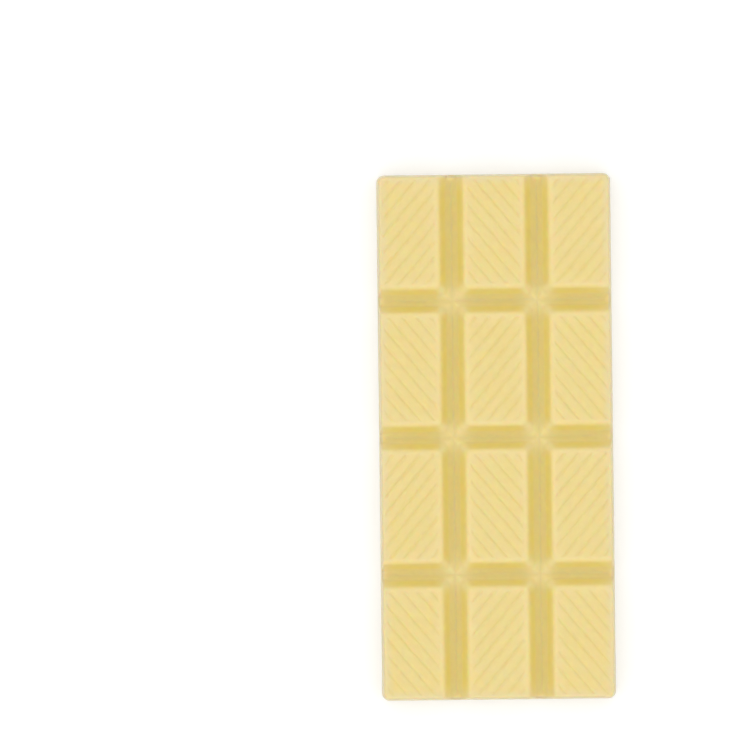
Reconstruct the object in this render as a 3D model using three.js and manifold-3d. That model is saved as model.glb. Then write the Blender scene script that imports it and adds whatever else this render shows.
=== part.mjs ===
// A moulded bar of white chocolate, lying on its flat underside.
// Millimetres, +X across the bar, +Y along it, +Z up out of the moulded face.
// The origin is the middle of the flat underside.

import * as THREE from "three";
import { mergeVertices } from "three/addons/utils/BufferGeometryUtils.js";
import Module from "manifold-3d";

const manifold = await Module();
manifold.setup();

// The slab
const BAR_WIDTH = 50;
const BAR_LENGTH = 112.2;
const BAR_THICKNESS = 8;
const SIDE_DRAFT = THREE.MathUtils.degToRad(3.2);
const OUTLINE_CORNER_RADIUS = 1.2;
const TOP_EDGE_RADIUS = 0.45;

// The pieces that the bar breaks into
const COLUMNS = 3;
const ROWS = 4;
const SIDE_TO_CHANNEL = 15.9;
const END_TO_CHANNEL = 26.9;
const PIECE_CORNER_RADIUS = 1;
const PIECE_EDGE_RADIUS = 0.8;

// The channels between the pieces: sloping walls, a ledge at each foot and a snap groove in the middle
const CHANNEL_TOP_HALF_WIDTH = 2.6;
const CHANNEL_FOOT_HALF_WIDTH = 0.94;
const CHANNEL_DEPTH = 3.2;
const CHANNEL_END_RADIUS = 0.6;
const SNAP_GROOVE_HALF_WIDTH = 0.9;
const SNAP_GROOVE_DEPTH = 0.65;
const SNAP_GROOVE_END_GAP = 2;

// The fine slanting grooves pressed into the top of each piece
const HATCH_ANGLE = THREE.MathUtils.degToRad(50);
const HATCH_PITCH = 2.273;
const HATCH_HALF_WIDTH = 0.45;
const HATCH_DEPTH = 0.2;
const HATCH_RIM_AT_CHANNEL = 0.85;
const HATCH_RIM_AT_OUTLINE = 0.6;
const SHORTEST_HATCH_GROOVE = 1.5;
// How far each column's and each row's grooves are shifted from the pieces' middles
const HATCH_SHIFT_X = [-0.07, 0.44, 0.21];
const HATCH_SHIFT_Y = [-0.02, -0.15, 0.42, 0.2];

const ROUNDING_STEPS = 3;
const OVERSHOOT = 2;

const LEDGE_HEIGHT = BAR_THICKNESS - CHANNEL_DEPTH;
const CHANNEL_WALL_DRAFT = Math.atan((CHANNEL_TOP_HALF_WIDTH - CHANNEL_FOOT_HALF_WIDTH) / CHANNEL_DEPTH);
const TOP_INSET = BAR_THICKNESS * Math.tan(SIDE_DRAFT);

const WHITE_CHOCOLATE = new THREE.MeshStandardMaterial({
  name: "white_chocolate",
  color: new THREE.Color().setRGB(0.93, 0.84, 0.57, THREE.SRGBColorSpace),
  roughness: 0.5,
  metalness: 0,
});

// A closed solid from a three.js geometry, ready to be joined and cut
function toSolid(geometry) {
  const bare = geometry.clone();
  bare.deleteAttribute("normal");
  bare.deleteAttribute("uv");
  const merged = mergeVertices(bare, 1e-5);
  return new manifold.Manifold(
    new manifold.Mesh({
      numProp: 3,
      vertProperties: new Float32Array(merged.attributes.position.array),
      triVerts: new Uint32Array(merged.index.array),
    }),
  );
}

function toGeometry(solid) {
  const mesh = solid.getMesh();
  const geometry = new THREE.BufferGeometry();
  geometry.setAttribute("position", new THREE.BufferAttribute(mesh.vertProperties, 3));
  geometry.setIndex(new THREE.BufferAttribute(mesh.triVerts, 1));
  geometry.computeVertexNormals();
  return geometry;
}

function joined(solids) {
  return solids.reduce((sum, solid) => sum.add(solid));
}

function roundedRectangle(width, length, radius) {
  const right = width / 2;
  const top = length / 2;
  const shape = new THREE.Shape();
  shape.moveTo(right, top - radius);
  shape.absarc(right - radius, top - radius, radius, 0, Math.PI / 2);
  shape.absarc(radius - right, top - radius, radius, Math.PI / 2, Math.PI);
  shape.absarc(radius - right, radius - top, radius, Math.PI, Math.PI * 1.5);
  shape.absarc(right - radius, radius - top, radius, Math.PI * 1.5, Math.PI * 2);
  return shape;
}

// A block with rounded upright corners and a rounded top edge, whose walls lean outwards
// as they go down. Its width and length are those of its walls carried up to its top.
function moulded({ width, length, bottom, top, draft, cornerRadius, edgeRadius }) {
  const geometry = new THREE.ExtrudeGeometry(roundedRectangle(width, length, cornerRadius), {
    depth: top - bottom - 2 * edgeRadius,
    curveSegments: ROUNDING_STEPS,
    bevelThickness: edgeRadius,
    bevelSize: edgeRadius,
    bevelOffset: -edgeRadius,
    bevelSegments: ROUNDING_STEPS,
  });
  geometry.translate(0, 0, bottom + edgeRadius);
  const position = geometry.attributes.position;
  for (let i = 0; i < position.count; i += 1) {
    const lean = (top - position.getZ(i)) * Math.tan(draft);
    position.setX(i, position.getX(i) + Math.sign(position.getX(i)) * lean);
    position.setY(i, position.getY(i) + Math.sign(position.getY(i)) * lean);
  }
  return geometry;
}

// A straight V groove's cutter, open upwards, centred on x, y at the height of the face it cuts
function grooveCutter({ x, y, height, angle, length, halfWidth, depth }) {
  const profile = new THREE.Shape();
  profile.moveTo(-halfWidth, 0);
  profile.lineTo(0, -depth);
  profile.lineTo(halfWidth, 0);
  profile.lineTo(halfWidth, OVERSHOOT);
  profile.lineTo(-halfWidth, OVERSHOOT);
  const geometry = new THREE.ExtrudeGeometry(profile, { depth: length, bevelEnabled: false });
  geometry.translate(0, 0, -length / 2);
  const along = new THREE.Vector3(Math.cos(angle), Math.sin(angle), 0);
  const up = new THREE.Vector3(0, 0, 1);
  const across = new THREE.Vector3().crossVectors(up, along);
  geometry.applyMatrix4(new THREE.Matrix4().makeBasis(across, up, along).setPosition(x, y, height));
  return geometry;
}

// The centres of the channels along one direction
function channelCentres(fullSize, edgeToChannel, pieces) {
  const first = edgeToChannel - fullSize / 2;
  const pitch = (fullSize - 2 * edgeToChannel) / (pieces - 2);
  return Array.from({ length: pieces - 1 }, (_, i) => first + i * pitch);
}

const CHANNEL_X = channelCentres(BAR_WIDTH, SIDE_TO_CHANNEL, COLUMNS);
const CHANNEL_Y = channelCentres(BAR_LENGTH, END_TO_CHANNEL, ROWS);

// Where one piece's top starts and ends along one direction, and whether the outline bounds it there
function pieceSpan(centres, fullSize, index) {
  const first = index === 0;
  const last = index === centres.length;
  const topEdge = fullSize / 2 - TOP_INSET;
  return {
    low: first ? -topEdge : centres[index - 1] + CHANNEL_TOP_HALF_WIDTH,
    high: last ? topEdge : centres[index] - CHANNEL_TOP_HALF_WIDTH,
    first,
    last,
  };
}

// A span grown past the outline where the outline bounds it, and changed by a step elsewhere
function reach(span, atOutline, atChannel) {
  const low = span.low - (span.first ? atOutline : atChannel);
  const high = span.high + (span.last ? atOutline : atChannel);
  return { middle: (low + high) / 2, size: high - low };
}

function outerBlock() {
  const block = moulded({
    width: BAR_WIDTH - 2 * TOP_INSET,
    length: BAR_LENGTH - 2 * TOP_INSET,
    bottom: -OVERSHOOT,
    top: BAR_THICKNESS,
    draft: SIDE_DRAFT,
    cornerRadius: OUTLINE_CORNER_RADIUS,
    edgeRadius: TOP_EDGE_RADIUS,
  });
  const aboveTable = new THREE.BoxGeometry(2 * BAR_WIDTH, 2 * BAR_LENGTH, 2 * BAR_THICKNESS);
  aboveTable.translate(0, 0, BAR_THICKNESS);
  return toSolid(block).intersect(toSolid(aboveTable));
}

// The slab under the pieces, whose top is the floor of the channels
function baseSlab() {
  const inset = LEDGE_HEIGHT * Math.tan(SIDE_DRAFT);
  return toSolid(
    moulded({
      width: BAR_WIDTH - 2 * inset,
      length: BAR_LENGTH - 2 * inset,
      bottom: -OVERSHOOT,
      top: LEDGE_HEIGHT,
      draft: SIDE_DRAFT,
      cornerRadius: OUTLINE_CORNER_RADIUS,
      edgeRadius: CHANNEL_END_RADIUS,
    }),
  );
}

function pieceBlock(spanX, spanY) {
  const x = reach(spanX, OVERSHOOT, 0);
  const y = reach(spanY, OVERSHOOT, 0);
  const block = moulded({
    width: x.size,
    length: y.size,
    bottom: LEDGE_HEIGHT - OVERSHOOT,
    top: BAR_THICKNESS,
    draft: CHANNEL_WALL_DRAFT,
    cornerRadius: PIECE_CORNER_RADIUS,
    edgeRadius: PIECE_EDGE_RADIUS,
  });
  block.translate(x.middle, y.middle, 0);
  return toSolid(block);
}

function snapGrooves() {
  const shared = { height: LEDGE_HEIGHT, halfWidth: SNAP_GROOVE_HALF_WIDTH, depth: SNAP_GROOVE_DEPTH };
  const lengthways = CHANNEL_X.map((x) =>
    grooveCutter({ ...shared, x, y: 0, angle: Math.PI / 2, length: BAR_LENGTH - 2 * SNAP_GROOVE_END_GAP }),
  );
  const crossways = CHANNEL_Y.map((y) =>
    grooveCutter({ ...shared, x: 0, y, angle: 0, length: BAR_WIDTH - 2 * SNAP_GROOVE_END_GAP }),
  );
  return joined([...lengthways, ...crossways].map(toSolid));
}

// The slanting grooves of one piece, cut off square at the plain rim round its top. Unshifted,
// they lie half a pitch to each side of the piece's middle, then a pitch apart.
function hatchGrooves(spanX, spanY, angle, shiftX, shiftY) {
  const x = reach(spanX, -HATCH_RIM_AT_OUTLINE, -HATCH_RIM_AT_CHANNEL);
  const y = reach(spanY, -HATCH_RIM_AT_OUTLINE, -HATCH_RIM_AT_CHANNEL);
  const diagonal = Math.hypot(x.size, y.size);
  const halfSpread = (x.size * Math.sin(HATCH_ANGLE) + y.size * Math.cos(HATCH_ANGLE)) / 2;
  const chordPerDepth = Math.tan(HATCH_ANGLE) + 1 / Math.tan(HATCH_ANGLE);
  const shift = shiftY * Math.cos(angle) - shiftX * Math.sin(angle);
  const count = Math.ceil(halfSpread / HATCH_PITCH);
  const cutters = [];
  for (let k = -count - 1; k <= count; k += 1) {
    const offset = (k + 0.5) * HATCH_PITCH + shift;
    if ((halfSpread - Math.abs(offset)) * chordPerDepth > SHORTEST_HATCH_GROOVE) {
      cutters.push(
        grooveCutter({
          x: x.middle - Math.sin(angle) * offset,
          y: y.middle + Math.cos(angle) * offset,
          height: BAR_THICKNESS,
          angle,
          length: 2 * diagonal,
          halfWidth: HATCH_HALF_WIDTH,
          depth: HATCH_DEPTH,
        }),
      );
    }
  }
  const field = new THREE.BoxGeometry(x.size, y.size, 2 * OVERSHOOT);
  field.translate(x.middle, y.middle, BAR_THICKNESS);
  return joined(cutters.map(toSolid)).intersect(toSolid(field));
}

function chocolateBar() {
  const blocks = [];
  const cutters = [snapGrooves()];
  for (let column = 0; column < COLUMNS; column += 1) {
    for (let row = 0; row < ROWS; row += 1) {
      const spanX = pieceSpan(CHANNEL_X, BAR_WIDTH, column);
      const spanY = pieceSpan(CHANNEL_Y, BAR_LENGTH, row);
      // Neighbours slant opposite ways; the top left piece's grooves rise to the right
      const risesRight = (column + ROWS - 1 - row) % 2 === 0;
      const angle = risesRight ? HATCH_ANGLE : Math.PI - HATCH_ANGLE;
      blocks.push(pieceBlock(spanX, spanY));
      cutters.push(hatchGrooves(spanX, spanY, angle, HATCH_SHIFT_X[column], HATCH_SHIFT_Y[row]));
    }
  }
  const body = joined([baseSlab(), ...blocks]).intersect(outerBlock());
  return toGeometry(body.subtract(joined(cutters)));
}

const bar = new THREE.Mesh(chocolateBar(), WHITE_CHOCOLATE);
bar.name = "chocolate_bar";

const model = new THREE.Group();
model.add(bar);

export default model;
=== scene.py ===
"""A moulded bar of white chocolate, seen from straight above on a plain pale floor.

The bar's surface is one mesh. Its moulded face is a height over the plan: flat piece tops with fine
slanting grooves, and channels with rounded walls and a shallow snap groove along their floors. A grid
of lines, close together across the channels, carries it, and the grooved field of each piece is filled
with a finer mesh whose rows run along the grooves. Lengths are in millimetres until the mesh is made.
"""

import math

import bpy
import numpy as np
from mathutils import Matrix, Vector, geometry, noise


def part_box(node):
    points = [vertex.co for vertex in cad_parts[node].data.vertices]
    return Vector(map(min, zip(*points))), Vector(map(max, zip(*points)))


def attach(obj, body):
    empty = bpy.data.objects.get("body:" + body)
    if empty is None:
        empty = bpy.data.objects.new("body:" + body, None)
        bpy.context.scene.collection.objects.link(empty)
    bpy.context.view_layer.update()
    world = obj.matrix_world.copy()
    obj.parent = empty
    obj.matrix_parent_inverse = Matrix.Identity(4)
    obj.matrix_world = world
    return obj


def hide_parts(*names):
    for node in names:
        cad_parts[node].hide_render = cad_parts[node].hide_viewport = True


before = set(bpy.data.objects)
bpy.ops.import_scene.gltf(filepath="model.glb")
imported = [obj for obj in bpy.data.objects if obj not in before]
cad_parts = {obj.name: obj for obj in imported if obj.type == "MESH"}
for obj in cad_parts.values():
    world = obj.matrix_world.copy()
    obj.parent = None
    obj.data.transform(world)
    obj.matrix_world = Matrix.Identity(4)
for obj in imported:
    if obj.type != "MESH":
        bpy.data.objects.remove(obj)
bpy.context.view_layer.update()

MM = 0.001

# The bar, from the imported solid
box_low, box_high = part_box("chocolate_bar")
BAR_WIDTH = (box_high[0] - box_low[0]) / MM
BAR_LENGTH = (box_high[1] - box_low[1]) / MM
BAR_THICKNESS = (box_high[2] - box_low[2]) / MM
SIDE_DRAFT = math.tan(math.radians(3.2))
OUTLINE_CORNER_RADIUS = 1.2
TOP_EDGE_RADIUS = 0.45
LOWER_EDGE_RADIUS = 0.25

# The channels and the pieces between them
COLUMNS = 3
ROWS = 4
SIDE_TO_CHANNEL = 15.9
END_TO_CHANNEL = 26.9
CHANNEL_TOP_HALF_WIDTH = 2.6
CHANNEL_FOOT_HALF_WIDTH = 0.94
CHANNEL_DEPTH = 3.2
SNAP_GROOVE_HALF_WIDTH = 0.9
SNAP_GROOVE_DEPTH = 0.72
SNAP_GROOVE_END_GAP = 0.7
SNAP_GROOVE_END_RAMP = 1.6
SNAP_GROOVE_BLEND = 0.5
SNAP_GROOVE_AT_CROSSING = 0.75
CORNER_BLEND = 1.8
WALL_CUT_BACKS = (0.8, 0.5)
GROOVE_CUT_BACKS = (0.25, 0.32, 0.25)
PROFILE_MARGIN = 1.0
GROOVE_MARGIN = 0.3
CHANNEL_END_RUN = 1.6
CHANNEL_END_DROP = 0.2

# The fine grooves of each piece's top
HATCH_ANGLE = math.radians(50)
HATCH_PITCH = 2.28
HATCH_HALF_WIDTH = 0.57
HATCH_DEPTH = 0.19
HATCH_END_RAMP = 0.6
HATCH_SHIFT_X = (-0.14, 0.44, 0.28)
HATCH_SHIFT_Y = (-0.15, -0.17, 0.52, 0.41)
RIM_AT_CHANNEL = 0.7
RIM_AT_OUTLINE = 0.55

# How uneven the real surface is: the depth of each kind of waviness, and how far apart its swells are.
# Each kind has its own seed, which moves its noise elsewhere.
SINK_IN_PIECE = 0.05
TOP_WAVE = 0.03
TOP_WAVE_LENGTH = 7
EDGE_WOBBLE = 0.035
EDGE_WOBBLE_LENGTH = 2.6
SIDE_WAVE = 0.04
SIDE_WAVE_LENGTH = 5
UNDERSIDE_HOLLOW = 0.14
UNDERSIDE_WAVE_LENGTH = 9
UNDERSIDE_RIM = 2.5
EDGE_SEED, TOP_SEED, SIDE_SEED, UNDERSIDE_SEED = 1, 2, 3, 4
SEED_SHIFT = (17.3, 5.1, 9.7)

# How the colour changes over the surface, as painted light and shade: paler near the pieces' edges, a
# painted highlight, and deeper low in the channels, a painted shade. The painted shade grows down a
# channel's wall and falls again on its floor, at its ends and at crossings.
EDGE_FADE = 2.4
OUTLINE_FADE = 1.7
HIP_FADE = 2.4
SHELTER_STARTS = -0.75
SHELTER_FULL = 0.95
SHELTER_FALLS = 1.0
SHELTER_LOW = 1.6
SHELTER_AT_MIDDLE = 0.1
CROSSING_REACH = 1.9
CROSSING_RISE = 2.4
SHADE_IN_GROOVE = 0.24
SHELTER_END_FADE = 3.0
SHELTER_AT_END = 0.5
# Painted shade on the bar's walls: its share there, and how far down from a channel's end it is stronger
SIDE_SHADE = 0.5
END_SHADE_REACH = 2

# The mesh: the narrowest and widest steps of its grid, the steps of its fields and its underside, and how
# many steps go across a fine groove, the ridge beside it, and each part of the outer wall
NARROWEST_STEP = 0.045
WIDEST_STEP_ACROSS = 0.14
WIDEST_STEP = 1.0
CORNER_STEPS = 4
FIELD_STEP = 0.5
FIELD_MARGIN = 0.12
UNDERSIDE_STEP = 1.2
GROOVE_STEPS = 7
RIDGE_STEPS = 3
TOP_EDGE_STEPS = 5
WALL_STEPS = 6
LOWER_EDGE_STEPS = 3
ROUNDING = 1e-6

# For Blender's triangulation: how close two points are taken as one, and that it stops at the ring
SAME_PLACE = 1e-7
INSIDE_RING_ONLY = 1

# The chocolate's colours, linear, and how far they vary. The panel colour is its own; the others are
# painted highlight and painted shade mixed over it.
PANEL_COLOUR = (0.808, 0.670, 0.295)
# Painted highlight: paler at the pieces' top edges, where light catches them
EDGE_HIGHLIGHT_COLOUR = (0.822, 0.690, 0.343)
# Painted shade: deeper yellow on the channels' walls and in the fine grooves
RECESS_SHADE_COLOUR = (0.803, 0.667, 0.208)
# Painted light: a paler, greyer tone at the bar's outline rim and on its walls
OUTLINE_PAINTED_LIGHT_COLOUR = (0.777, 0.675, 0.372)
# Painted highlight: paler on the pieces' rounded corners where channels cross
HIP_HIGHLIGHT_COLOUR = (0.822, 0.725, 0.37)
# Painted shade: darker and greyer along the channels' floors
CHANNEL_FLOOR_SHADE_COLOUR = (0.784, 0.66, 0.296)
# Painted shade: darker on the bar's sides and at the channels' ends
SIDE_SHADE_COLOUR = (0.60, 0.51, 0.305)
SATURATION_RANGE = (0.975, 1.025)
VALUE_RANGE = (0.985, 1.015)
# How much the edges' painted highlight varies from spot to spot
EDGE_HIGHLIGHT_RANGE = (0.7, 1.3)
NOISE_RANGE = (0.3, 0.7)

# How large the spots of each kind of mottling are, and their detail
# The spots that break up the edges' painted highlight
EDGE_HIGHLIGHT_SPOTS = (1.1, 4)
SATURATION_SPOTS = (6, 2)
VALUE_SPOTS = (1.6, 5)
GLOSS_SPOTS = (4, 4)
WAVE_SPOTS = (3.2, 3)
GRAIN_SPOTS = (0.35, 3)

# Its gloss, and the depth of its fine waves, its grain and its few pinholes, in millimetres
ROUGHNESS_RANGE = (0.42, 0.56)
EDGE_ROUGHNESS = 0.06
WAVE_BUMP = 0.02
GRAIN_BUMP = 0.003
PIT_BUMP = 0.05
PIT_RADIUS = 0.12
PIT_SPACING = 5

# How light goes into it: the radius for red, green and blue, and its scale in metres
SUBSURFACE_WEIGHT = 1.0
SUBSURFACE_RADIUS = (1.0, 0.6, 0.25)
SUBSURFACE_SCALE = 0.0014
REFRACTIVE_INDEX = 1.45

# The photograph: a square picture, the place of the bar's middle in it, its scale and the bar's turn
PHOTO_SIZE = 745
BAR_MIDDLE_PX = (496.1, 436.9)
PIXELS_PER_MM = 4.684
BAR_TURN = math.radians(0.675)
CAMERA_HEIGHT = 3000
SENSOR_WIDTH = 36
SIGHT_LIMIT_M = 10

# The light: where it is strongest, and how strong it is there and at the horizon
LIGHT_FROM = (-0.045, -0.07, 1)
LIGHT_OVERHEAD = 1.371
LIGHT_AT_HORIZON = 0.4

# The floor, which glows a little as a light table does, so that the bar casts hardly any shadow on it
FLOOR_COLOUR = (0.8, 0.8, 0.8)
FLOOR_GLOW = 0.25
FLOOR_ROUGHNESS = 0.9
FLOOR_HALF_SIZE_M = 2.0

TOP_INSET = BAR_THICKNESS * SIDE_DRAFT
FLAT_HALF_WIDTH = BAR_WIDTH / 2 - TOP_INSET - TOP_EDGE_RADIUS
FLAT_HALF_LENGTH = BAR_LENGTH / 2 - TOP_INSET - TOP_EDGE_RADIUS
FLAT_CORNER_RADIUS = OUTLINE_CORNER_RADIUS - TOP_EDGE_RADIUS


def softened(corners, cut_back, steps=5):
    """The line through the corners, with a parabola in place of each inner corner."""
    points = [corners[0]]
    for before, corner, after, cut in zip(corners, corners[1:], corners[2:], cut_back):
        before, corner, after = (np.array(p, float) for p in (before, corner, after))
        start = corner + (before - corner) * cut / np.linalg.norm(before - corner)
        end = corner + (after - corner) * cut / np.linalg.norm(after - corner)
        for t in np.linspace(0, 1, steps + 1):
            points.append(start * (1 - t) ** 2 + corner * 2 * t * (1 - t) + end * t**2)
    points.append(corners[-1])
    return np.array([np.array(p, float) for p in points]).T


def subdivided(values, longest):
    """The sorted values, with more between any two that lie further apart than longest."""
    result = [values[0]]
    for low, high in zip(values, values[1:]):
        count = max(1, math.ceil((high - low) / longest - ROUNDING))
        result.extend(low + (high - low) * (i + 1) / count for i in range(count))
    return np.array(result)


def swells(points, length, seed):
    """Smooth noise from 0 to 1 at each point, with swells about length millimetres apart."""
    shift = Vector([seed * step for step in SEED_SHIFT])
    places = [(*p, 0)[:3] for p in np.asarray(points, float) / length]
    return np.array([0.5 + 0.5 * noise.noise(Vector(p) + shift) for p in places])


def smooth_step(t):
    t = np.clip(t, 0, 1)
    return t * t * (3 - 2 * t)


# A piece's wall: how far outside the piece's top edge, and how far below the top
WALL_RUN = CHANNEL_TOP_HALF_WIDTH - CHANNEL_FOOT_HALF_WIDTH
WALL_OUT, WALL_DROP = softened(
    [
        (-PROFILE_MARGIN, 0.0),
        (0.0, 0.0),
        (WALL_RUN, -CHANNEL_DEPTH),
        (WALL_RUN + PROFILE_MARGIN, -CHANNEL_DEPTH),
    ],
    WALL_CUT_BACKS,
)

# The snap groove's profile: how far from its middle, and how deep
GROOVE_OUT, GROOVE_DROP = softened(
    [
        (-SNAP_GROOVE_HALF_WIDTH - GROOVE_MARGIN, 0.0),
        (-SNAP_GROOVE_HALF_WIDTH, 0.0),
        (0.0, -SNAP_GROOVE_DEPTH),
        (SNAP_GROOVE_HALF_WIDTH, 0.0),
        (SNAP_GROOVE_HALF_WIDTH + GROOVE_MARGIN, 0.0),
    ],
    GROOVE_CUT_BACKS,
    steps=4,
)


def channel_centres(full_size, edge_to_channel, pieces):
    pitch = (full_size - 2 * edge_to_channel) / (pieces - 2)
    return [edge_to_channel - full_size / 2 + i * pitch for i in range(pieces - 1)]


CHANNEL_X = channel_centres(BAR_WIDTH, SIDE_TO_CHANNEL, COLUMNS)
CHANNEL_Y = channel_centres(BAR_LENGTH, END_TO_CHANNEL, ROWS)


def piece_spans(centres, full_size):
    """Each piece's top edges and its grooved field's edges along one direction.

    A piece at the outline is taken to reach far past it, as only its sides at channels have edges.
    """
    edge = full_size / 2 - TOP_INSET
    far = 3 * CHANNEL_TOP_HALF_WIDTH
    spans = []
    for low_channel, high_channel in zip([None, *centres], [*centres, None]):
        low = -edge if low_channel is None else low_channel + CHANNEL_TOP_HALF_WIDTH
        high = edge if high_channel is None else high_channel - CHANNEL_TOP_HALF_WIDTH
        low_rim = RIM_AT_OUTLINE if low_channel is None else RIM_AT_CHANNEL
        high_rim = RIM_AT_OUTLINE if high_channel is None else RIM_AT_CHANNEL
        spans.append(
            {
                "low": low - (far if low_channel is None else 0),
                "high": high + (far if high_channel is None else 0),
                "middle": (low + high) / 2,
                "field": (low + low_rim, high - high_rim),
            }
        )
    return spans


SPANS_X = piece_spans(CHANNEL_X, BAR_WIDTH)
SPANS_Y = piece_spans(CHANNEL_Y, BAR_LENGTH)


def soft_max(a, b, blend):
    """The larger of the two, with a rounded change-over where they differ by less than blend."""
    return np.maximum(a, b) + np.maximum(blend - np.abs(a - b), 0) ** 2 / (4 * blend)


def outside_pieces(x, y):
    """How far outside the nearest piece's top edge, negative inside it; upright corners are rounded."""
    nearest = np.full(np.shape(x), np.inf)
    for span_x in SPANS_X:
        for span_y in SPANS_Y:
            out_x = np.maximum(span_x["low"] - x, x - span_x["high"])
            out_y = np.maximum(span_y["low"] - y, y - span_y["high"])
            nearest = np.minimum(nearest, soft_max(out_x, out_y, CORNER_BLEND))
    return nearest


def to_outline(x, y):
    """How far inside the bar's top outline."""
    return np.minimum(FLAT_HALF_WIDTH - np.abs(x), FLAT_HALF_LENGTH - np.abs(y))


def crossing_closeness(x, y):
    """1 where two channels cross, falling to 0 a little way along them."""
    in_x = CHANNEL_TOP_HALF_WIDTH - np.min([np.abs(x - c) for c in CHANNEL_X], axis=0)
    in_y = CHANNEL_TOP_HALF_WIDTH - np.min([np.abs(y - c) for c in CHANNEL_Y], axis=0)
    return smooth_step((np.minimum(in_x, in_y) + CROSSING_REACH) / CROSSING_RISE)


def edge_closeness(x, y):
    """1 at the pieces' top edges, falling to 0 within EDGE_FADE to each side; it places a painted
    highlight and a rougher gloss there.
    """
    return np.clip(1 - np.abs(outside_pieces(x, y)) / EDGE_FADE, 0, 1)


def hip_closeness(x, y):
    """1 on the rounded upright corners of the pieces, falling to 0 within HIP_FADE of their edges; it
    places a painted highlight there.
    """
    near_edge = smooth_step(1 - np.abs(outside_pieces(x, y)) / HIP_FADE)
    return near_edge * crossing_closeness(x, y)


def outline_closeness(x, y):
    """1 at the bar's top outline, falling to 0 within OUTLINE_FADE of it; it places a painted light tone
    there.
    """
    return smooth_step(1 - to_outline(x, y) / OUTLINE_FADE)


def on_channel_floor(x, y):
    """1 along the middle of the channels, 0 on their walls and on the pieces; it places a greyer painted
    shade there.
    """
    return smooth_step((outside_pieces(x, y) - SHELTER_FALLS) / (SHELTER_LOW - SHELTER_FALLS))


def recess_shade(x, y):
    """The painted shade for how shut in a point is: most on the channels' walls, less on their floors,
    none at crossings.
    """
    on_wall = smooth_step((outside_pieces(x, y) - SHELTER_STARTS) / (SHELTER_FULL - SHELTER_STARTS))
    fallen = (1 - SHELTER_AT_MIDDLE) * on_channel_floor(x, y)
    at_end = (1 - SHELTER_AT_END) * smooth_step(1 - to_outline(x, y) / SHELTER_END_FADE)
    return on_wall * (1 - fallen) * (1 - at_end) * (1 - crossing_closeness(x, y))


def snap_groove_drop(x, y):
    """The snap grooves' depth, which runs out to nothing near the bar's outline."""
    depths = []
    for across, along, centres, full_size in (
        (x, y, CHANNEL_X, BAR_LENGTH),
        (y, x, CHANNEL_Y, BAR_WIDTH),
    ):
        to_end = full_size / 2 - np.abs(along)
        strength = smooth_step((to_end - SNAP_GROOVE_END_GAP) / SNAP_GROOVE_END_RAMP)
        shapes = [np.interp(across - centre, GROOVE_OUT, -GROOVE_DROP) for centre in centres]
        depths.append(strength * np.max(shapes, axis=0))
    both = soft_max(*depths, SNAP_GROOVE_BLEND) - SNAP_GROOVE_BLEND / 4
    crossing = crossing_closeness(x, y)
    weaker = 1 - (1 - SNAP_GROOVE_AT_CROSSING) * crossing
    return -weaker * (np.maximum(*depths) * (1 - crossing) + np.maximum(both, 0) * crossing)


def hatch_direction(column, row):
    """The angle of a piece's grooves; row 0 is the lowest in the photograph."""
    rises_right = (column + ROWS - 1 - row) % 2 == 0
    return HATCH_ANGLE if rises_right else math.pi - HATCH_ANGLE


def hatch_middle(column, row):
    """The place that one piece's grooves are counted from: they lie half a pitch to each side of it."""
    return SPANS_X[column]["middle"] + HATCH_SHIFT_X[column], SPANS_Y[row]["middle"] + HATCH_SHIFT_Y[row]


def hatch_drop(x, y, column, row):
    """The depth of one piece's fine grooves, which run out at the edges of its field."""
    angle = hatch_direction(column, row)
    span_x, span_y = SPANS_X[column], SPANS_Y[row]
    middle_x, middle_y = hatch_middle(column, row)
    across = (y - middle_y) * math.cos(angle) - (x - middle_x) * math.sin(angle)
    from_groove = np.abs(across / HATCH_PITCH - np.floor(across / HATCH_PITCH) - 0.5) * HATCH_PITCH
    to_edge = np.minimum.reduce(
        [x - span_x["field"][0], span_x["field"][1] - x, y - span_y["field"][0], span_y["field"][1] - y]
    )
    shape = smooth_step(1 - from_groove / HATCH_HALF_WIDTH)
    return -HATCH_DEPTH * shape * smooth_step(to_edge / HATCH_END_RAMP)


def groove_shade(drop):
    """The painted shade in the fine groove that a point lies in, from its depth there."""
    return SHADE_IN_GROOVE * drop / -HATCH_DEPTH


def piece_sink(x, y):
    """How far the pieces' tops have sunk as they set, most in their middles."""
    sink = np.zeros(np.shape(x))
    for span_x in SPANS_X:
        for span_y in SPANS_Y:
            half_x = (span_x["field"][1] - span_x["field"][0]) / 2
            half_y = (span_y["field"][1] - span_y["field"][0]) / 2
            bowl_x = np.clip(1 - ((x - span_x["middle"]) / half_x) ** 2, 0, 1)
            bowl_y = np.clip(1 - ((y - span_y["middle"]) / half_y) ** 2, 0, 1)
            sink = np.maximum(sink, SINK_IN_PIECE * bowl_x * bowl_y)
    return sink


def moulded_height(x, y):
    """The height of the moulded face, without the fine grooves."""
    plan = np.column_stack([x, y])
    wobble = EDGE_WOBBLE * (2 * swells(plan, EDGE_WOBBLE_LENGTH, EDGE_SEED) - 1)
    wall = np.interp(outside_pieces(x, y) + wobble, WALL_OUT, WALL_DROP)
    near_end = np.clip(1 - to_outline(x, y) / CHANNEL_END_RUN, 0, 1)
    end_drop = CHANNEL_END_DROP * near_end**2 * wall / CHANNEL_DEPTH
    uneven = piece_sink(x, y) + TOP_WAVE * swells(plan, TOP_WAVE_LENGTH, TOP_SEED)
    return BAR_THICKNESS + wall + end_drop + snap_groove_drop(x, y) - uneven


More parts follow.
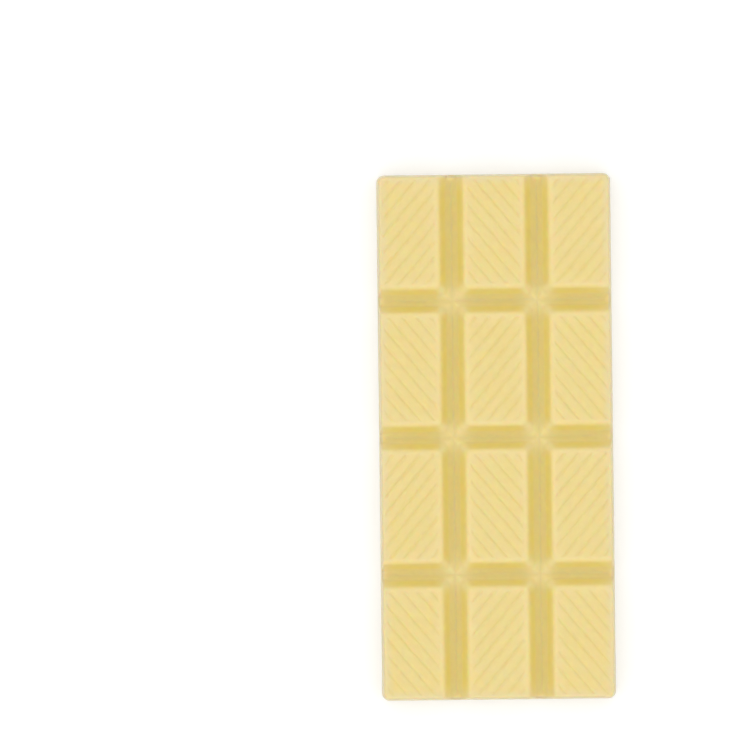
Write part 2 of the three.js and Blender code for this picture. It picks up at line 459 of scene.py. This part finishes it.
def rounded_corner(x, y):
    """Draws the corners of the plan in, so that its square corner blocks become quarter discs."""
    out_x = np.abs(x) - (FLAT_HALF_WIDTH - FLAT_CORNER_RADIUS)
    out_y = np.abs(y) - (FLAT_HALF_LENGTH - FLAT_CORNER_RADIUS)
    in_block = (out_x > 0) & (out_y > 0)
    length = np.where(in_block, np.hypot(out_x, out_y), 1)
    pull = np.where(in_block, np.maximum(out_x, out_y) / length, 1)
    new_x = np.where(in_block, np.sign(x) * (np.abs(x) - out_x * (1 - pull)), x)
    new_y = np.where(in_block, np.sign(y) * (np.abs(y) - out_y * (1 - pull)), y)
    return new_x, new_y


def spaced(values, taken):
    """The sorted values, without those that lie too near an earlier one or one of those taken."""
    kept = []
    for value in np.unique(values):
        near_taken = np.min(np.abs(np.array(taken) - value)) < NARROWEST_STEP
        if not near_taken and not (kept and value - kept[-1] < NARROWEST_STEP):
            kept.append(value)
    return kept


def grid_lines(centres, spans, half_size):
    """The places of the grid's lines along one direction, close together across the channels."""
    across = np.concatenate([CHANNEL_TOP_HALF_WIDTH - WALL_OUT[1:-1], GROOVE_OUT[GROOVE_OUT > 0]])
    across = np.array(spaced(across, [0]))
    across = np.array(spaced(subdivided(np.append(0, across), WIDEST_STEP_ACROSS), [0]))
    corner = half_size - FLAT_CORNER_RADIUS
    fixed = [-half_size, half_size, -corner, corner]
    for span in spans:
        fixed.extend(span["field"])
    loose = list(centres)
    for centre in centres:
        loose.extend(centre + across)
        loose.extend(centre - across)
    for step in range(1, CORNER_STEPS):
        loose.extend([corner + (half_size - corner) * step / CORNER_STEPS])
        loose.extend([-corner - (half_size - corner) * step / CORNER_STEPS])
    return subdivided(np.sort(fixed + spaced(loose, fixed)), WIDEST_STEP)


def ring_around(width, height):
    """The grid's outermost points in order, anticlockwise from the lowest corner."""
    bottom = [(i, 0) for i in range(width - 1)]
    right = [(width - 1, j) for j in range(height - 1)]
    top = [(i, height - 1) for i in range(width - 1, 0, -1)]
    left = [(0, j) for j in range(height - 1, 0, -1)]
    return bottom + right + top + left


def filled(ring, inner):
    """Triangles inside the ring of plan points, through it and the points in it."""
    points = [Vector(p) for p in [*ring, *inner]]
    around = [(i, (i + 1) % len(ring)) for i in range(len(ring))]
    result = geometry.delaunay_2d_cdt(points, around, [], INSIDE_RING_ONLY, SAME_PLACE)
    origin = [o[0] for o in result[3]]
    return [[origin[v] for v in face] for face in result[2]]


def field_points(column, row, low, high):
    """Rows of plan points along one piece's grooves, kept a little inside its field."""
    angle = hatch_direction(column, row)
    along = np.array([math.cos(angle), math.sin(angle)])
    across = np.array([-math.sin(angle), math.cos(angle)])
    middle = np.array(hatch_middle(column, row))
    near = HATCH_HALF_WIDTH * np.linspace(-1, 1, GROOVE_STEPS + 1)
    ridge = np.linspace(HATCH_HALF_WIDTH, HATCH_PITCH - HATCH_HALF_WIDTH, RIDGE_STEPS + 1)[1:-1]
    pattern = np.concatenate([near, ridge])
    reach = math.hypot(high[0] - low[0], high[1] - low[1]) / 2
    count = math.ceil(reach / HATCH_PITCH)
    offsets = [(k + 0.5) * HATCH_PITCH + p for k in range(-count - 1, count + 1) for p in pattern]
    half_count = math.ceil(reach / FIELD_STEP)
    steps = np.arange(-half_count, half_count + 1) * FIELD_STEP
    points = np.array([middle + across * o + along * s for o in offsets for s in steps])
    inside = (points > np.array(low) + FIELD_MARGIN) & (points < np.array(high) - FIELD_MARGIN)
    return points[inside.all(axis=1)]


def field_lines(lines, span):
    """The numbers of the two grid lines at a grooved field's edges."""
    return [int(np.argmin(np.abs(lines - edge))) for edge in span["field"]]


def moulded_face():
    """The moulded face: its plan, heights, painted shade for how shut in each point is, and faces, and
    the ring of its outermost points.
    """
    lines_x = grid_lines(CHANNEL_X, SPANS_X, FLAT_HALF_WIDTH)
    lines_y = grid_lines(CHANNEL_Y, SPANS_Y, FLAT_HALF_LENGTH)
    covered = np.zeros((len(lines_x) - 1, len(lines_y) - 1), bool)
    on_grid = np.ones((len(lines_x), len(lines_y)), bool)
    fields = []
    for column, span_x in enumerate(SPANS_X):
        for row, span_y in enumerate(SPANS_Y):
            i0, i1 = field_lines(lines_x, span_x)
            j0, j1 = field_lines(lines_y, span_y)
            covered[i0:i1, j0:j1] = True
            on_grid[i0 + 1 : i1, j0 + 1 : j1] = False
            fields.append((column, row, i0, i1, j0, j1))

    ids = -np.ones(on_grid.shape, int)
    ids[on_grid] = np.arange(on_grid.sum())
    grid_x, grid_y = np.meshgrid(lines_x, lines_y, indexing="ij")
    plan = [np.stack([grid_x[on_grid], grid_y[on_grid]], axis=1)]
    heights = [moulded_height(*plan[0].T)]
    recess_shades = [recess_shade(*plan[0].T)]
    faces = [
        (ids[i, j], ids[i + 1, j], ids[i + 1, j + 1], ids[i, j + 1])
        for i, j in zip(*np.nonzero(~covered))
    ]
    for column, row, i0, i1, j0, j1 in fields:
        ring = [ids[i0 + a, j0 + b] for a, b in ring_around(i1 - i0 + 1, j1 - j0 + 1)]
        points = field_points(column, row, (lines_x[i0], lines_y[j0]), (lines_x[i1], lines_y[j1]))
        first = sum(len(p) for p in plan)
        names = ring + list(range(first, first + len(points)))
        faces.extend(tuple(names[v] for v in face) for face in filled(plan[0][ring], points))
        drop = hatch_drop(*points.T, column, row)
        plan.append(points)
        heights.append(moulded_height(*points.T) + drop)
        recess_shades.append(recess_shade(*points.T) + groove_shade(drop))
    outermost = [ids[i, j] for i, j in ring_around(*ids.shape)]
    return np.concatenate(plan), np.concatenate(heights), np.concatenate(recess_shades), faces, outermost


def outer_wall(edge):
    """Rings of points round the top's edge, down the leaning wall and under the lower edge.

    Each comes with the share of the sides' painted shade that its points have.
    """
    core = np.array([FLAT_HALF_WIDTH - FLAT_CORNER_RADIUS, FLAT_HALF_LENGTH - FLAT_CORNER_RADIUS])
    away = edge[:, :2] - np.clip(edge[:, :2], -core, core)
    away /= np.linalg.norm(away, axis=1)[:, None]
    full_height = edge[:, 2]
    end_depth = (BAR_THICKNESS - full_height) / CHANNEL_DEPTH
    shoulder = full_height - TOP_EDGE_RADIUS
    rings = []

    def add_ring(outwards, height, turned=1.0):
        """A ring at the height, with the share of the turn from the top's face to the wall's."""
        place = np.column_stack([edge[:, :2] + away * np.reshape(outwards, (-1, 1)), height])
        inwards = SIDE_WAVE * swells(place, SIDE_WAVE_LENGTH, SIDE_SEED)
        place[:, :2] -= away * inwards[:, None]
        # Painted shade on the wall: a share everywhere, stronger just below a channel's end
        below_end = smooth_step(1 - (full_height - height) / END_SHADE_REACH)
        rings.append((place, turned * (SIDE_SHADE + (1 - SIDE_SHADE) * end_depth * below_end)))

    def wall_at(height):
        return TOP_EDGE_RADIUS + (BAR_THICKNESS - height) * SIDE_DRAFT

    for turn in np.linspace(0, math.pi / 2, TOP_EDGE_STEPS + 1)[1:]:
        height = shoulder + TOP_EDGE_RADIUS * math.cos(turn)
        add_ring(wall_at(shoulder) * math.sin(turn), height, math.sin(turn))
    for step in range(1, WALL_STEPS + 1):
        height = shoulder + (LOWER_EDGE_RADIUS - shoulder) * step / WALL_STEPS
        add_ring(wall_at(height), height)
    widest = wall_at(LOWER_EDGE_RADIUS)
    for turn in np.linspace(0, math.pi / 2, LOWER_EDGE_STEPS + 1)[1:]:
        out = widest - LOWER_EDGE_RADIUS * (1 - math.cos(turn))
        height = LOWER_EDGE_RADIUS * (1 - math.sin(turn))
        add_ring(np.full(len(edge), out), np.full(len(edge), height), math.cos(turn))
    return rings


def underside(lowest):
    """Points inside the lowest ring, a little hollow and wavy within its rim, and the faces there.

    The faces count the ring's points first and these points after them.
    """
    half = np.abs(lowest).max(axis=0) - UNDERSIDE_STEP
    inside_x = np.linspace(-half[0], half[0], round(2 * half[0] / UNDERSIDE_STEP))
    inside_y = np.linspace(-half[1], half[1], round(2 * half[1] / UNDERSIDE_STEP))
    inside = np.array([(px, py) for px in inside_x for py in inside_y])
    to_rim = (half - np.abs(inside)).min(axis=1)
    hollow = UNDERSIDE_HOLLOW * smooth_step(to_rim / UNDERSIDE_RIM)
    heights = hollow * swells(inside, UNDERSIDE_WAVE_LENGTH, UNDERSIDE_SEED)
    faces = [face[::-1] for face in filled(lowest, inside)]
    return np.column_stack([inside, heights]), faces


def bar_surface():
    """The bar's points, in millimetres, its faces, and how its colour changes from point to point, which
    is painted highlight and painted shade.
    """
    plan, heights, recess_shades, faces, outermost = moulded_face()
    top = np.column_stack([*rounded_corner(*plan.T), heights])
    wall = outer_wall(top[outermost])
    lowest = wall[-1][0][:, :2]
    under, under_faces = underside(lowest)

    around = len(outermost)
    rings = [np.array(outermost)]
    rings.extend(len(top) + k * around + np.arange(around) for k in range(len(wall)))
    for upper, lower in zip(rings, rings[1:]):
        faces.extend(zip(upper, lower, np.roll(lower, -1), np.roll(upper, -1)))
    first = len(top) + len(wall) * around
    names = list(rings[-1]) + list(range(first, first + len(under)))
    faces.extend(tuple(names[v] for v in face) for face in under_faces)

    points = np.concatenate([top, *(place for place, share in wall), under])
    on_wall = np.ones(len(wall) * around)
    on_underside = np.zeros(len(under))
    nothing = np.zeros(len(points) - len(top))
    # Painted light at the edges, hips and outline, painted shade on the channels' floors, in recesses and
    # on the sides; the edges are rougher too
    shades = {
        "edge": np.append(edge_closeness(*plan.T), nothing),
        "hip": np.append(hip_closeness(*plan.T), nothing),
        "channel_floor": np.append(on_channel_floor(*plan.T), nothing),
        "recess_shade": np.append(recess_shades, nothing),
        "outline": np.concatenate([outline_closeness(*plan.T), on_wall, on_underside]),
        "side": np.concatenate([np.zeros(len(top)), *(share for place, share in wall), on_underside]),
    }
    return points, faces, shades


def chocolate_bar():
    points, faces, shades = bar_surface()
    mesh = bpy.data.meshes.new("moulded_bar")
    mesh.from_pydata((points * MM).tolist(), [], [[int(v) for v in face] for face in faces])
    mesh.validate()
    mesh.shade_smooth()
    for name, values in shades.items():
        attribute = mesh.attributes.new(name, "FLOAT", "POINT")
        attribute.data.foreach_set("value", values.astype(np.float32))
    bar = bpy.data.objects.new("moulded_bar", mesh)
    bpy.context.scene.collection.objects.link(bar)
    return bar


def white_chocolate():
    """Satin, pale and see-through a little way in; painted highlight makes it paler at its edges and
    hips, painted shade deeper in recesses and on its sides.
    """
    material = bpy.data.materials.new("white_chocolate")
    material.use_nodes = True
    nodes, links = material.node_tree.nodes, material.node_tree.links
    shader = nodes["Principled BSDF"]
    place = nodes.new("ShaderNodeTexCoord").outputs["Object"]

    def mottle(size, detail):
        """Noise whose spots are about size millimetres across."""
        texture = nodes.new("ShaderNodeTexNoise")
        texture.inputs["Scale"].default_value = 1 / (size * MM)
        texture.inputs["Detail"].default_value = detail
        links.new(place, texture.inputs["Vector"])
        return texture.outputs["Fac"]

    def ranged(value, low, high, from_low=NOISE_RANGE[0], from_high=NOISE_RANGE[1]):
        """The value, spread from its own range to the range from low to high."""
        spread = nodes.new("ShaderNodeMapRange")
        spread.inputs["From Min"].default_value = from_low
        spread.inputs["From Max"].default_value = from_high
        spread.inputs["To Min"].default_value = low
        spread.inputs["To Max"].default_value = high
        links.new(value, spread.inputs["Value"])
        return spread.outputs["Result"]

    def math_of(operation, first, second):
        node = nodes.new("ShaderNodeMath")
        node.operation = operation
        links.new(first, node.inputs[0])
        links.new(second, node.inputs[1])
        return node.outputs["Value"]

    def shade(name):
        attribute = nodes.new("ShaderNodeAttribute")
        attribute.attribute_name = name
        return attribute.outputs["Fac"]

    def mixed(factor, first, second):
        """A colour that goes from first, a socket or a colour, to second, a colour, with the factor."""
        mix = nodes.new("ShaderNodeMix")
        mix.data_type = "RGBA"
        links.new(factor, mix.inputs["Factor"])
        if isinstance(first, tuple):
            mix.inputs["A"].default_value = (*first, 1)
        else:
            links.new(first, mix.inputs["A"])
        mix.inputs["B"].default_value = (*second, 1)
        return mix.outputs["Result"]

    def bumped(height, distance, under=None):
        bump = nodes.new("ShaderNodeBump")
        bump.inputs["Strength"].default_value = 1
        bump.inputs["Distance"].default_value = distance * MM
        links.new(height, bump.inputs["Height"])
        if under is not None:
            links.new(under, bump.inputs["Normal"])
        return bump.outputs["Normal"]

    # The painted highlight at the pieces' edges breaks up into spots
    edge_highlight = math_of("MULTIPLY", shade("edge"), ranged(mottle(*EDGE_HIGHLIGHT_SPOTS), *EDGE_HIGHLIGHT_RANGE))
    colour = mixed(edge_highlight, PANEL_COLOUR, EDGE_HIGHLIGHT_COLOUR)
    # Painted light and shade over the panel colour: outline tone, channel floor shade, hip highlight,
    # recess shade, side shade
    colour = mixed(shade("outline"), colour, OUTLINE_PAINTED_LIGHT_COLOUR)
    colour = mixed(shade("channel_floor"), colour, CHANNEL_FLOOR_SHADE_COLOUR)
    colour = mixed(shade("hip"), colour, HIP_HIGHLIGHT_COLOUR)
    colour = mixed(shade("recess_shade"), colour, RECESS_SHADE_COLOUR)
    colour = mixed(shade("side"), colour, SIDE_SHADE_COLOUR)
    varied = nodes.new("ShaderNodeHueSaturation")
    links.new(colour, varied.inputs["Color"])
    links.new(ranged(mottle(*SATURATION_SPOTS), *SATURATION_RANGE), varied.inputs["Saturation"])
    links.new(ranged(mottle(*VALUE_SPOTS), *VALUE_RANGE), varied.inputs["Value"])
    links.new(varied.outputs["Color"], shader.inputs["Base Color"])

    roughness = ranged(mottle(*GLOSS_SPOTS), *ROUGHNESS_RANGE)
    rougher = ranged(shade("edge"), 0, EDGE_ROUGHNESS, 0, 1)
    links.new(math_of("ADD", roughness, rougher), shader.inputs["Roughness"])

    pits = nodes.new("ShaderNodeTexVoronoi")
    pits.inputs["Scale"].default_value = 1 / (PIT_SPACING * MM)
    links.new(place, pits.inputs["Vector"])
    pit_floor = ranged(pits.outputs["Distance"], 0, 1, 0, PIT_RADIUS / PIT_SPACING)
    normal = bumped(mottle(*WAVE_SPOTS), WAVE_BUMP)
    normal = bumped(mottle(*GRAIN_SPOTS), GRAIN_BUMP, normal)
    normal = bumped(pit_floor, PIT_BUMP, normal)
    links.new(normal, shader.inputs["Normal"])

    shader.inputs["IOR"].default_value = REFRACTIVE_INDEX
    shader.inputs["Subsurface Weight"].default_value = SUBSURFACE_WEIGHT
    shader.inputs["Subsurface Radius"].default_value = SUBSURFACE_RADIUS
    shader.inputs["Subsurface Scale"].default_value = SUBSURFACE_SCALE
    return material


def camera():
    """Looks straight down, turned so that the bar lies in the picture as in the photograph."""
    data = bpy.data.cameras.new("camera")
    data.sensor_width = SENSOR_WIDTH
    data.lens = PIXELS_PER_MM * CAMERA_HEIGHT / PHOTO_SIZE * SENSOR_WIDTH
    obj = bpy.data.objects.new("camera", data)
    right = (PHOTO_SIZE / 2 - BAR_MIDDLE_PX[0]) / PIXELS_PER_MM
    up = (BAR_MIDDLE_PX[1] - PHOTO_SIZE / 2) / PIXELS_PER_MM
    obj.rotation_euler = (0, 0, -BAR_TURN)
    obj.location = (
        (right * math.cos(BAR_TURN) + up * math.sin(BAR_TURN)) * MM,
        (up * math.cos(BAR_TURN) - right * math.sin(BAR_TURN)) * MM,
        CAMERA_HEIGHT * MM,
    )
    data.clip_end = SIGHT_LIMIT_M
    bpy.context.scene.collection.objects.link(obj)
    bpy.context.scene.camera = obj


def floor():
    mesh = bpy.data.meshes.new("floor")
    half = FLOOR_HALF_SIZE_M
    corners = [(-half, -half, 0), (half, -half, 0), (half, half, 0), (-half, half, 0)]
    mesh.from_pydata(corners, [], [(0, 1, 2, 3)])
    obj = bpy.data.objects.new("floor", mesh)
    bpy.context.scene.collection.objects.link(obj)
    material = bpy.data.materials.new("floor")
    material.use_nodes = True
    shader = material.node_tree.nodes["Principled BSDF"]
    shader.inputs["Base Color"].default_value = (*FLOOR_COLOUR, 1)
    shader.inputs["Roughness"].default_value = FLOOR_ROUGHNESS
    shader.inputs["Emission Color"].default_value = (1, 1, 1, 1)
    shader.inputs["Emission Strength"].default_value = FLOOR_GLOW
    mesh.materials.append(material)


def light():
    """A soft light all round, strongest from above and a little towards one corner."""
    world = bpy.data.worlds.new("world")
    bpy.context.scene.world = world
    world.use_nodes = True
    nodes, links = world.node_tree.nodes, world.node_tree.links
    direction = nodes.new("ShaderNodeTexCoord")
    towards = nodes.new("ShaderNodeVectorMath")
    towards.operation = "DOT_PRODUCT"
    towards.inputs[1].default_value = Vector(LIGHT_FROM).normalized()
    strength = nodes.new("ShaderNodeMapRange")
    strength.interpolation_type = "SMOOTHSTEP"
    strength.inputs["From Min"].default_value = 0
    strength.inputs["From Max"].default_value = 1
    strength.inputs["To Min"].default_value = LIGHT_AT_HORIZON
    strength.inputs["To Max"].default_value = LIGHT_OVERHEAD
    background = nodes["Background"]
    background.inputs["Color"].default_value = (1, 1, 1, 1)
    links.new(direction.outputs["Generated"], towards.inputs[0])
    links.new(towards.outputs["Value"], strength.inputs["Value"])
    links.new(strength.outputs["Result"], background.inputs["Strength"])


bpy.context.scene.view_settings.view_transform = "Standard"
camera()
light()
floor()
bar = chocolate_bar()
bar.data.materials.append(white_chocolate())
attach(bar, "root")
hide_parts("chocolate_bar")
